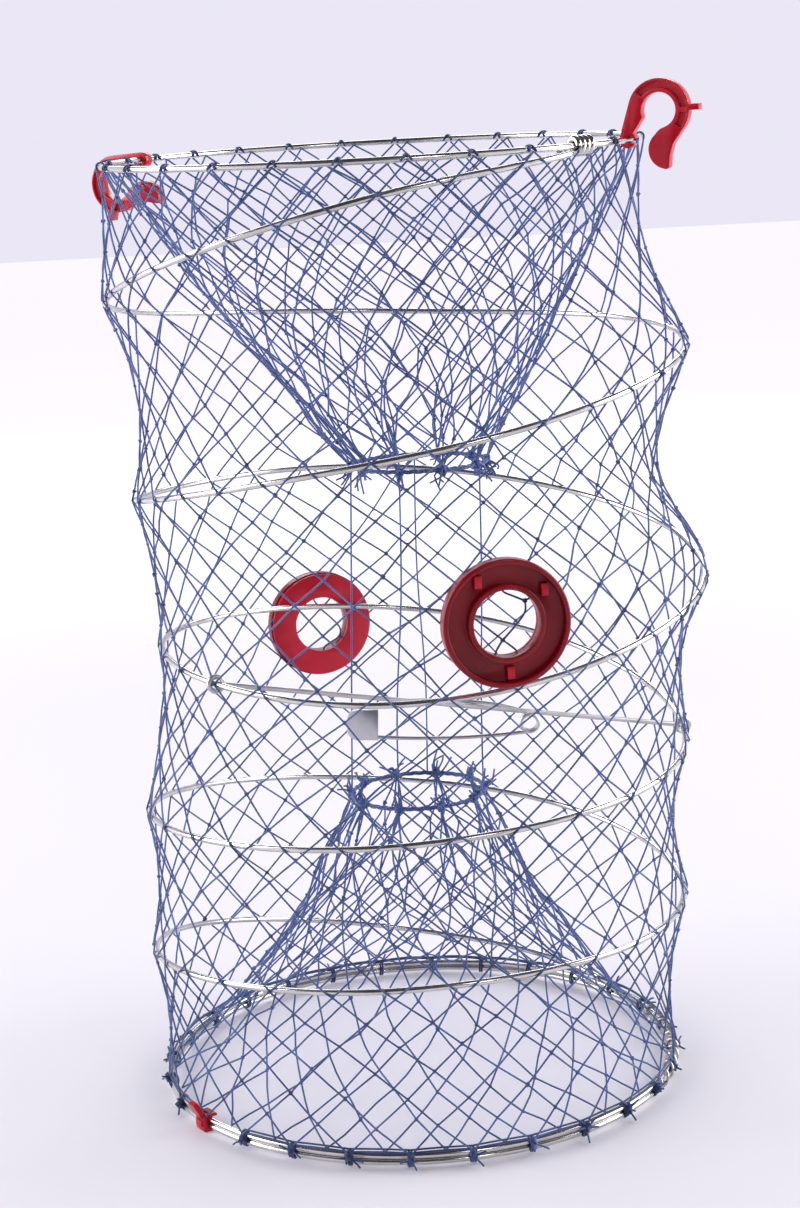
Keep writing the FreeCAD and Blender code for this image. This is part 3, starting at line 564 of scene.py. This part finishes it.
def springTurns():
    first = knotsDown[0][0]
    cuts = [first, 1, 2, 3, 4, spring["lastTurn"]]
    for number, (start, end) in enumerate(zip(cuts, cuts[1:]), start=1):
        count = int((end - start) * 120)
        line = [springPoint(start + (end - start) * i / count) for i in range(count + 1)]
        linePiece("spring_wire_%d" % number, [line], wireRadius, wireSides, zincWire, "turn_%d" % number,
                  ["spring_turn_%d" % number], fold=spring["centres"][number - 1] * mm)


def closedRing(name, pointAt, body, node):
    count = 180
    line = [pointAt(360 * i / count) for i in range(count + 1)]
    linePiece(name, [line], wireRadius, wireSides, zincWire, body, [node])


springTurns()
closedRing("top_ring_wire", lambda a: onTopRing(a, ringRadius), "top", "top_ring")
for level, ringZ in (("lower", lowerRingZ), ("upper", upperRingZ)):
    closedRing("bottom_ring_wire_" + level, lambda a: aim(a, ringRadius) + up * ringZ, "base",
               "bottom_ring_" + level)

wraps = {
    "topMiddle": -44.2, "topTurns": 3.5,
    "lashFrom": -28, "lashTo": 19.5, "lashTurns": 11, "lashWire": 0.0008,
    "stepsPerTurn": 22,
}


def topWrap():
    reach = 2 * wireRadius + 0.3 * mm
    half = math.degrees(lie * wraps["topTurns"] / 2 / ringRadius)
    count = int(wraps["topTurns"] * wraps["stepsPerTurn"])
    line = []
    for i in range(count + 1):
        share = i / count
        angle = wraps["topMiddle"] - half + 2 * half * share
        turn = 2 * math.pi * wraps["topTurns"] * share
        line.append(onTopRing(angle, ringRadius) + aim(angle, reach * math.cos(turn))
                    + up * reach * math.sin(turn))
    linePiece("top_wrap_wire", [line], wireRadius, wireSides, zincWire, "top", ["top_wire_wrap"])


def bottomWrap():
    reach = wireRadius + wraps["lashWire"] + 0.1 * mm
    middle = (lowerRingZ + upperRingZ) / 2
    count = wraps["lashTurns"] * wraps["stepsPerTurn"]
    line = []
    for i in range(count + 1):
        share = i / count
        angle = wraps["lashFrom"] + (wraps["lashTo"] - wraps["lashFrom"]) * share
        turn = 2 * math.pi * wraps["lashTurns"] * share
        line.append(aim(angle, ringRadius + (reach + 0.65 * mm) * math.cos(turn))
                    + up * (middle + (reach + lie / 2) * math.sin(turn)))
    linePiece("bottom_wrap_wire", [line], wraps["lashWire"], 10, thinWire, "base",
              ["bottom_wire_wrap"])


topWrap()
bottomWrap()

print("netting")
net = {
    "twine": 0.00055,        # radius of the twine
    "round": 28,             # meshes round the trap
    "rows": 35,              # half meshes from ring to ring
    "waist": 0.014,          # how far the net draws in between two wires 127 mm apart
    "waistSpan": 0.127,
    "jitter": 0.0008,
    "knot": 0.00105,
    "sides": 5,
    "clear": 0.00012,        # between the wire and the twine
    "lean": 3.5,             # degrees that the columns of meshes sway by from top to bottom
    "hang": 0.8,             # mm that the first row lies under the top ring
    "stand": 1.2,            # mm that the last row lies over the bottom ring
    "sameTurn": 0.03,        # two wires further apart than this aren't the same turn
}
netRadius = ringRadius + wireRadius + net["twine"] + net["clear"]
ports = {
    "front": {"angle": -78.2, "facing": -80, "reach": 0.1625, "height": 0.3003, "body": "port_front"},
    "back": {"angle": 112.6, "facing": 108.7, "reach": 0.1582, "height": 0.242, "body": "port_back"},
}
portSize = {
    "rim": 0.0313,       # inside this the wall's net is cut away
    "hole": 0.0175,      # radius inside which the slack strands sink a little
    "sink": 0.0016,
    "clamp": 0.00245,    # how far out of the port's middle the net is held
    "pull": 0.030,       # how far round the rim the net is drawn to it
    "deep": 0.03,        # how far before or behind the port still counts as inside it
}


def portFrame(port):
    centre = axisAt(port["height"]) + aim(port["angle"], port["reach"])
    out = aim(port["facing"])
    return centre, up.cross(out), out


def wireHeights(angle):
    first = (spring["countFrom"] - angle) / 360 % 1
    found = [onTopRing(angle, ringRadius).z]
    turn = first if first > knotsDown[0][0] else first + 1
    while turn < spring["lastTurn"]:
        found.append(smoothValue(knotsDown, turn))
        turn += 1
    found.append(upperRingZ)
    return found


def netReach(angle, z):
    heights = wireHeights(angle)
    for high, low in zip(heights, heights[1:]):
        if low <= z <= high:
            span = max(high - low, 0.001)
            share = (z - low) / span
            depth = net["waist"] * min(1.0, span / net["waistSpan"]) ** 2
            return netRadius + swellAt(z) - depth * 4 * share * (1 - share)
    return netRadius


# with a share of the way down, the columns sway as the wall's do; without one they stay straight
def meshAngle(i, row, share=None):
    angle = 360 * (i + 0.5 * (row % 2) + 0.25) / net["round"]
    return angle if share is None else angle + net["lean"] * math.sin(share * 5 + 1)


def netPoint(angle, z, radius):
    return axisAt(z) + aim(angle, radius)


def wallKnots():
    rows = []
    for row in range(net["rows"] + 1):
        share = row / net["rows"]
        line = []
        for i in range(net["round"]):
            angle = meshAngle(i, row, share)
            topZ = onTopRing(angle, netRadius).z - net["hang"] * mm
            z = topZ + (upperRingZ + net["stand"] * mm - topZ) * share
            if 0 < row < net["rows"]:
                angle += rng.gauss(0, 1) * math.degrees(net["jitter"] / netRadius)
                z += rng.gauss(0, 1) * net["jitter"]
            line.append((angle, z))
        rows.append(line)
    return rows


def barPoints(start, end):
    (a0, z0), (a1, z1) = start, end

    def at(share):
        return a0 + (a1 - a0) * share, z0 + (z1 - z0) * share

    marks = [(0.0, netReach(a0, z0)), (1.0, netReach(a1, z1))]
    lo, hi = wireHeights(a0), wireHeights(a1)
    for k in range(1, min(len(lo), len(hi)) - 1):
        if abs(lo[k] - hi[k]) > net["sameTurn"]:
            continue
        g0, g1 = z0 - lo[k], z1 - hi[k]
        if g0 * g1 < 0:
            share = g0 / (g0 - g1)
            if 0.04 < share < 0.96:
                marks.append((share, netRadius + swellAt(at(share)[1])))
    marks.sort()
    points = []
    for (s0, r0), (s1, r1) in zip(marks, marks[1:]):
        steps = 2 if s1 - s0 > 0.4 else 1
        for k in range(steps):
            share = s0 + (s1 - s0) * k / steps
            points.append(netPoint(*at(share), r0 + (r1 - r0) * k / steps))
    points.append(netPoint(a1, z1, marks[-1][1]))
    return points


def pulledToPorts(point):
    for port in ports.values():
        centre, across, out = portFrame(port)
        offset = point - centre
        if offset.dot(out) < -0.05:
            continue
        flat = math.hypot(offset.dot(across), offset.z)
        if flat < portSize["rim"] + portSize["pull"]:
            share = min(1.0, max(0.0, 1 - (flat - portSize["rim"]) / portSize["pull"]))
            share = share * share * (3 - 2 * share)
            point = point + out * ((portSize["clamp"] - offset.dot(out)) * share)
    return point


def insidePort(point):
    for port in ports.values():
        centre, across, out = portFrame(port)
        offset = point - centre
        flat = math.hypot(offset.dot(across), offset.z)
        if abs(offset.dot(out)) < portSize["deep"] and flat < portSize["rim"]:
            return True
    return False


def trimmed(line):
    inside = [insidePort(p) for p in line]
    if not any(inside):
        return line
    if all(inside):
        return None
    if inside[0]:
        line, inside = line[::-1], inside[::-1]
    keep = []
    for p, q, hidden in zip(line, line[1:], inside[1:]):
        keep.append(p)
        if hidden:
            low, high = 0.0, 1.0
            for _ in range(12):
                middle = (low + high) / 2
                if insidePort(p.lerp(q, middle)):
                    high = middle
                else:
                    low = middle
            keep.append(p.lerp(q, low))
            return keep
    return keep


def knotAngles(out):
    turn = out.to_track_quat("Z", "Y").to_euler()
    return (turn.x + rng.uniform(-0.4, 0.4), turn.y + rng.uniform(-0.4, 0.4), rng.uniform(0, 6.28))


def wallNet():
    rows = wallKnots()
    strands, knots = [], []
    for row, line in enumerate(rows):
        for i, (angle, z) in enumerate(line):
            spot = pulledToPorts(netPoint(angle, z, netReach(angle, z)))
            if 0 < row < net["rows"] and not insidePort(spot):
                knots.append((spot, rng.uniform(0.85, 1.25), knotAngles(aim(angle))))
            if row == net["rows"]:
                continue
            for step in (0, 1):
                other = i + step - (1 if row % 2 == 0 else 0)
                a, zEnd = rows[row + 1][other % net["round"]]
                a += 360 * (other // net["round"])
                bar = trimmed([pulledToPorts(p) for p in barPoints((angle, z), (a, zEnd))])
                if bar:
                    strands.append(bar)
    linePiece("net_wall_twine", strands, net["twine"], net["sides"], netBlue, "base",
              ["net_wall"], knots, net["knot"], fold=0)
    print("  wall bars", len(strands), "knots", len(knots))


wallNet()

print("strands behind the port holes")
# across and up from the port's centre, mm; each list is one slack strand
holeStrands = [
    [(1, 20), (0.6, 15.3), (6, 12.2), (12, 9.3)],
    [(12, 9.3), (12.2, 5), (10.7, 1.6), (5.9, -3.9), (-0.4, -10.2)],
    [(-0.4, -10.2), (-3.8, -15), (-6, -20)],
    [(-0.4, -10.2), (5.9, -15.7), (9, -20)],
    [(-20, 5.5), (-15.5, 2.9), (-8, -3.6), (-0.4, -10.2)],
    [(12, 9.3), (16, 11.5), (20, 14)],
]
holeKnots = [(12, 9.3), (-0.4, -10.2)]


def smoothLine(points, steps=5):
    line = []
    for i in range(len(points) - 1):
        p0, p1 = points[max(i - 1, 0)], points[i]
        p2, p3 = points[i + 1], points[min(i + 2, len(points) - 1)]
        for k in range(steps):
            t = k / steps
            line.append(0.5 * ((2 * p1) + (p2 - p0) * t + (2 * p0 - 5 * p1 + 4 * p2 - p3) * t * t
                               + (3 * p1 - p0 - 3 * p2 + p3) * t**3))
    line.append(points[-1])
    return line


def portStrands():
    for side, port in ports.items():
        centre, across, out = portFrame(port)
        flip = 1 if side == "front" else -1

        def place(spot):
            depth = portSize["clamp"] - 0.0006
            if math.hypot(*spot) * mm < portSize["hole"]:
                depth -= portSize["sink"]
            return centre + across * (flip * spot[0] * mm) + up * (flip * spot[1] * mm) + out * depth

        linePiece("port_%s_strands" % side, [smoothLine([place(p) for p in s], 4) for s in holeStrands],
                  net["twine"], 6, hitchBlue, port["body"],
                  knots=[(place(p), 1.15, knotAngles(out)) for p in holeKnots], knotSize=net["knot"])


portStrands()

print("funnels")
funnels = {
    "upper": {
        "rows": 11, "throat": 0.3628, "right": 0.0158, "anchor": tall, "end": -1,
        "body": "top", "node": "upper_funnel_net",
        "profile": ((0, 1.0), (0.5, 0.52), (1, 0.0)),
    },
    "lower": {
        "rows": 11, "throat": 0.1683, "right": 0.0057, "anchor": 0.0, "end": 1,
        "body": "base", "node": "lower_funnel_net",
        "profile": ((0, 1.0), (0.06, 0.91), (0.13, 0.79), (0.3, 0.585), (0.6, 0.275), (1, 0.0)),
    },
}
throat = {"radius": 0.039, "bunches": 10, "ply": 0.0006, "plyReach": 0.0008, "twists": 14, "tassel": 0.011}


def throatCentre(kind):
    return Vector((kind["right"], 0, kind["throat"]))


def shaken(reach):
    return Vector((rng.gauss(0, 1), rng.gauss(0, 1), rng.gauss(0, 1))) * reach


funnelMesh = {
    "rimRow": 14.5,      # the first row's part of the way to the throat, against the other rows
    "growth": 7.0,       # how much more the last row takes
    "gather": 2.6,       # rows over which the columns close up into bunches
    "loose": 0.0010,     # how far the knots stray
}


def profileAt(profile, share):
    for (s0, v0), (s1, v1) in zip(profile, profile[1:]):
        if share <= s1:
            return v0 + (v1 - v0) * (share - s0) / (s1 - s0)
    return profile[-1][1]


def funnelPoint(kind, angle, share):
    if kind is funnels["upper"]:
        rim = onTopRing(angle, ringRadius - wireRadius - net["twine"]) - up * net["hang"] * mm
    else:
        rim = aim(angle, ringRadius - wireRadius - net["twine"]) + up * (upperRingZ + 1.0 * mm)
    end = throatCentre(kind) + aim(angle, throat["radius"])
    value = profileAt(kind["profile"], share)
    spot = end + (rim - end) * value
    spot.z = rim.z + (end.z - rim.z) * share
    return spot


def funnelNet(name, kind):
    rows = kind["rows"]
    widths = [funnelMesh["rimRow"] + funnelMesh["growth"] * (r / (rows - 1)) for r in range(rows)]
    total = sum(widths)
    shares = [sum(widths[:r]) / total for r in range(rows + 1)]
    step = 360 / throat["bunches"]
    grid = []
    for row, share in enumerate(shares):
        line = []
        for i in range(net["round"]):
            angle = meshAngle(i, row)
            snap = round(angle / step) * step
            weight = max(0.0, 1 - (rows - row) / funnelMesh["gather"])
            angle += (snap - angle) * weight
            loose = funnelMesh["loose"] if 0 < row < rows else 0
            spot = funnelPoint(kind, angle, share)
            spot += Vector((rng.gauss(0, loose), rng.gauss(0, loose), rng.gauss(0, loose)))
            line.append(spot)
        grid.append(line)
    strands, knots = [], []
    for row, line in enumerate(grid):
        for i, spot in enumerate(line):
            if 0 < row < rows:
                knots.append((spot, rng.uniform(0.85, 1.2), knotAngles(Vector((spot.x, spot.y, 0.02)))))
            if row == rows:
                continue
            for side in (0, 1):
                other = (i + side - (1 if row % 2 == 0 else 0)) % net["round"]
                end = grid[row + 1][other]
                strands.append([spot, spot.lerp(end, 0.5) + shaken(0.0005), end])
    # bunched and frayed ends at the throat
    for b in range(throat["bunches"]):
        root = funnelPoint(kind, b * step, 1)
        knots.append((root, 2.6, knotAngles(aim(b * step))))
        knots.append((root + up * 0.002 * kind["end"] + aim(b * step, 0.001), 1.9, knotAngles(up)))
        for _ in range(rng.randint(4, 7)):
            rise = up * kind["end"] * rng.uniform(0.3, 1.0)
            way = (rise + aim(b * step + rng.uniform(-80, 80), rng.uniform(0.1, 0.9))).normalized()
            length = throat["tassel"] * rng.uniform(0.45, 1.15)
            bend = shaken(0.0016)
            tip = root + way * length - bend * 0.6
            strands.append(smoothLine([root, root + way * length * 0.5 + bend, tip], 3))
    linePiece(name, strands, net["twine"], net["sides"], throatBlue, kind["body"],
              [kind["node"]], knots, net["knot"], fold=kind["anchor"])


funnelNet("upper_funnel_twine", funnels["upper"])
funnelNet("lower_funnel_twine", funnels["lower"])


def throatCord(name, kind, body, node):
    centre = throatCentre(kind)
    strands = []
    for ply in range(3):
        line = []
        count = 160
        for i in range(count + 1):
            share = i / count
            swirl = 2 * math.pi * (throat["twists"] * share + ply / 3)
            line.append(centre + aim(360 * share, throat["radius"] + throat["plyReach"] * math.cos(swirl))
                        + up * throat["plyReach"] * math.sin(swirl))
        strands.append(line)
    linePiece(name, strands, throat["ply"], 6, throatBlue, body, [node])


throatCord("upper_throat_twine", funnels["upper"], "throat_upper", "upper_throat_cord")
throatCord("lower_throat_twine", funnels["lower"], "throat_lower", "lower_throat_cord")

ties = ((182, 182), (252, 252), (92, 80), (-30, -12))  # degrees round the upper and the lower throat


def tieLines():
    for number, (high, low) in enumerate(ties, start=1):
        start = aim(high, throat["radius"]) + throatCentre(funnels["upper"])
        end = aim(low, throat["radius"]) + throatCentre(funnels["lower"])
        bow = aim(high + 90, 0.0012)
        line = smoothLine([start, start.lerp(end, 0.35) + bow, start.lerp(end, 0.7) - bow, end], 8)
        linePiece("tie_line_%d" % number, [line], net["twine"] * 0.9, 6, throatBlue, "throat_upper",
                  ["funnel_tie_%d" % number], fold=funnels["upper"]["throat"])


tieLines()

print("hitches and lashings")
hitch = {
    "from": -25, "sweep": 230,      # degrees round the top ring's wire
    "turns": 2.3, "step": 0.0014,   # round the two bottom wires
    "start": -0.9,
    "tail": 0.008,
    "clear": 0.0001,                # between the wire and the twine
    "knots": (2.3, 1.8),            # the two knots of a lashing, against the net's own
    "lines": (0.4, 1.3),            # mm that the running lines lie over the wires, and from line to line
    "wave": 0.7,                    # mm that they rise between two lashings
    # degrees round the ring, and how many to each side of that stay free of twine
    "topFree": ((wraps["topMiddle"], 4.6), (-23, 2.4), (152.4, 2.4)),
    "bottomFree": ((-146.6, 3.4),),
}


def hitchAngles(row):
    return [meshAngle(i, row, row / net["rows"]) for i in range(net["round"])]


def isFree(angle, taken):
    return all(abs((angle - middle + 180) % 360 - 180) > half for middle, half in taken)


def overTopRing():
    strands = []
    reach = wireRadius + net["twine"] + hitch["clear"]
    for angle in hitchAngles(0):
        if not isFree(angle, hitch["topFree"]):
            continue
        for way in (-1, 1):
            line = []
            lean = way * rng.uniform(0.7, 1.2)
            count = 12
            for i in range(count + 1):
                share = i / count
                turn = math.radians(hitch["from"] + hitch["sweep"] * share)
                at = angle + lean * (share - 0.5) * 2
                line.append(onTopRing(at, ringRadius) + aim(at, reach * math.cos(turn))
                            + up * reach * math.sin(turn))
            strands.append(line)
    linePiece("top_ring_hitch_twine", strands, net["twine"], 6, hitchBlue, "top",
              ["top_ring_hitches"])


def bottomLashings():
    strands, knots = [], []
    middle = (lowerRingZ + upperRingZ) / 2
    reach = wireRadius + net["twine"] + hitch["clear"]
    angles = hitchAngles(net["rows"])
    for number, angle in enumerate(angles):
        if not isFree(angle, hitch["bottomFree"]):
            continue
        along = up.cross(aim(angle))
        line = []
        count = 48
        for i in range(count + 1):
            share = i / count
            turn = hitch["start"] + 2 * math.pi * hitch["turns"] * share
            shift = hitch["step"] * hitch["turns"] * (share - 0.5)
            line.append(aim(angle, ringRadius) + up * middle + along * shift
                        + aim(angle, reach * 1.12 * math.cos(turn)) + up * (reach + lie / 2) * math.sin(turn))
        strands.append(line)
        front = aim(angle, ringRadius + reach + 0.0005) + up * (middle + rng.uniform(-1, 2) * mm)
        knots.append((front, hitch["knots"][0], knotAngles(aim(angle))))
        over = front + up * 0.0022 + along * rng.uniform(-1, 1) * mm
        knots.append((over, hitch["knots"][1], knotAngles(aim(angle))))
        for _ in range(rng.randint(2, 4)):
            way = along * rng.uniform(-1, 1) + aim(angle, rng.uniform(0.05, 0.5))
            way += up * rng.uniform(-0.25, 0.5)
            way = way.normalized() * hitch["tail"] * rng.uniform(0.5, 1.2)
            tip = front + way + up * rng.uniform(-1.5, 0.5) * mm
            strands.append(smoothLine([front, front + way * 0.6, tip], 3))
        # running line from this lashing to the next
        nextAngle = angles[(number + 1) % len(angles)] + (360 if number + 1 == len(angles) else 0)
        for level in (0, 1):
            lift = upperRingZ + wireRadius + (hitch["lines"][0] + hitch["lines"][1] * level) * mm
            course = [aim(angle + (nextAngle - angle) * s, ringRadius + 0.0016 - 0.001 * level)
                      + up * (lift + hitch["wave"] * mm * math.sin(math.pi * s)) for s in (0, 0.33, 0.66, 1)]
            strands.append(smoothLine(course, 3))
    linePiece("bottom_ring_lashing_twine", strands, net["twine"], 6, hitchBlue, "base",
              ["bottom_ring_lashing"], knots, net["knot"])


overTopRing()
bottomLashings()

print("plastic and bait parts")
softEdges = {
    # node: (finish, rounding of the edges)
    "port_front_outer": (portRed, 0.0005),
    "port_front_inner": (litPegRed, 0.0003),
    "port_back_outer": (portRed, 0.0005),
    "port_back_inner": (litPegRed, 0.0003),
    "latch_hook_right": (hookRed, 0.0005),
    "latch_hook_left": (hookRed, 0.0005),
    "ring_clip_lower": (hookRed, 0.0005),
    "bait_bar": (barWire, 0.0),
    "bait_bar_eye_left": (barWire, 0.0),
    "bait_bar_eye_right": (barWire, 0.0),
    "bait_pin_frame": (nickelSteel, 0.0),
    "bait_pin_needle": (nickelSteel, 0.0),
    "bait_pin_clasp": (nickelSteel, 0.0002),
}


def finished(node, material, rounding):
    source = frame["nodes"][node]
    mesh = source.data.copy()
    bm = bmesh.new()
    bm.from_mesh(mesh)
    bmesh.ops.remove_doubles(bm, verts=bm.verts, dist=1e-6)
    if rounding:
        bmesh.ops.dissolve_limit(bm, angle_limit=math.radians(1.5), verts=bm.verts, edges=bm.edges)
    bm.to_mesh(mesh)
    bm.free()
    mesh.materials.clear()
    mesh.materials.append(material)
    obj = link(bpy.data.objects.new(node + "_finished", mesh))
    for face in mesh.polygons:
        face.use_smooth = True
    if rounding:
        bevel = obj.modifiers.new("edges", "BEVEL")
        bevel.width = rounding
        bevel.segments = 2
        bevel.limit_method = "ANGLE"
        bevel.angle_limit = math.radians(38)
        bevel.harden_normals = True
    else:
        mesh.set_sharp_from_angle(angle=math.radians(35))
    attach(obj, source["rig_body"])
    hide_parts(node)
    return obj


for node, (material, rounding) in softEdges.items():
    finished(node, material, rounding)
